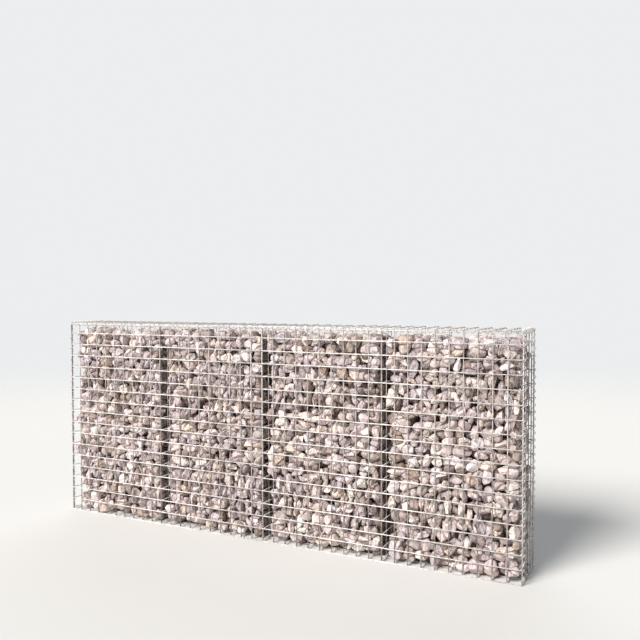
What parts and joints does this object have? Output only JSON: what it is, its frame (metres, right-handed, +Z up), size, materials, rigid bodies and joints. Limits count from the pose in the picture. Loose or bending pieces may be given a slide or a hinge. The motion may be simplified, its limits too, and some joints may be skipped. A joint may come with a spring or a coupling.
{
  "type": "gabion wall",
  "caption": "Long, narrow free-standing basket of welded galvanised wire mesh, laced with wire spirals, parted into bays and filled with loose stone.",
  "frame": {"origin": "on the ground at the middle of the wall's footprint", "axes": "+X along the wall to the right as seen from the front, the front face is at -Y, +Z up"},
  "size_m": [2.0206, 0.2254, 0.8578],
  "materials": {
    "mesh_wire": "galvanised, dull bright",
    "lacing_wire": "galvanised, bright",
    "stone": "rough natural stone, pebbles and broken stone"
  },
  "bodies": {
    "root": {"front_mesh_left": "mesh_wire", "front_mesh_right": "mesh_wire", "back_mesh_left": "mesh_wire", "back_mesh_right": "mesh_wire", "end_mesh_left": "mesh_wire", "end_mesh_right": "mesh_wire", "diaphragm_mesh_1": "mesh_wire", "diaphragm_mesh_2": "mesh_wire", "diaphragm_mesh_3": "mesh_wire", "base_mesh": "mesh_wire", "lid_mesh": "mesh_wire", "corner_spiral_front_left": "lacing_wire", "corner_spiral_front_right": "lacing_wire", "corner_spiral_back_left": "lacing_wire", "corner_spiral_back_right": "lacing_wire", "lid_spiral_front": "lacing_wire", "lid_spiral_back": "lacing_wire", "lid_spiral_left": "lacing_wire", "lid_spiral_right": "lacing_wire", "stone_fill_bay_1": "stone", "stone_fill_bay_2": "stone", "stone_fill_bay_3": "stone", "stone_fill_bay_4": "stone"}
  },
  "joints": []
}
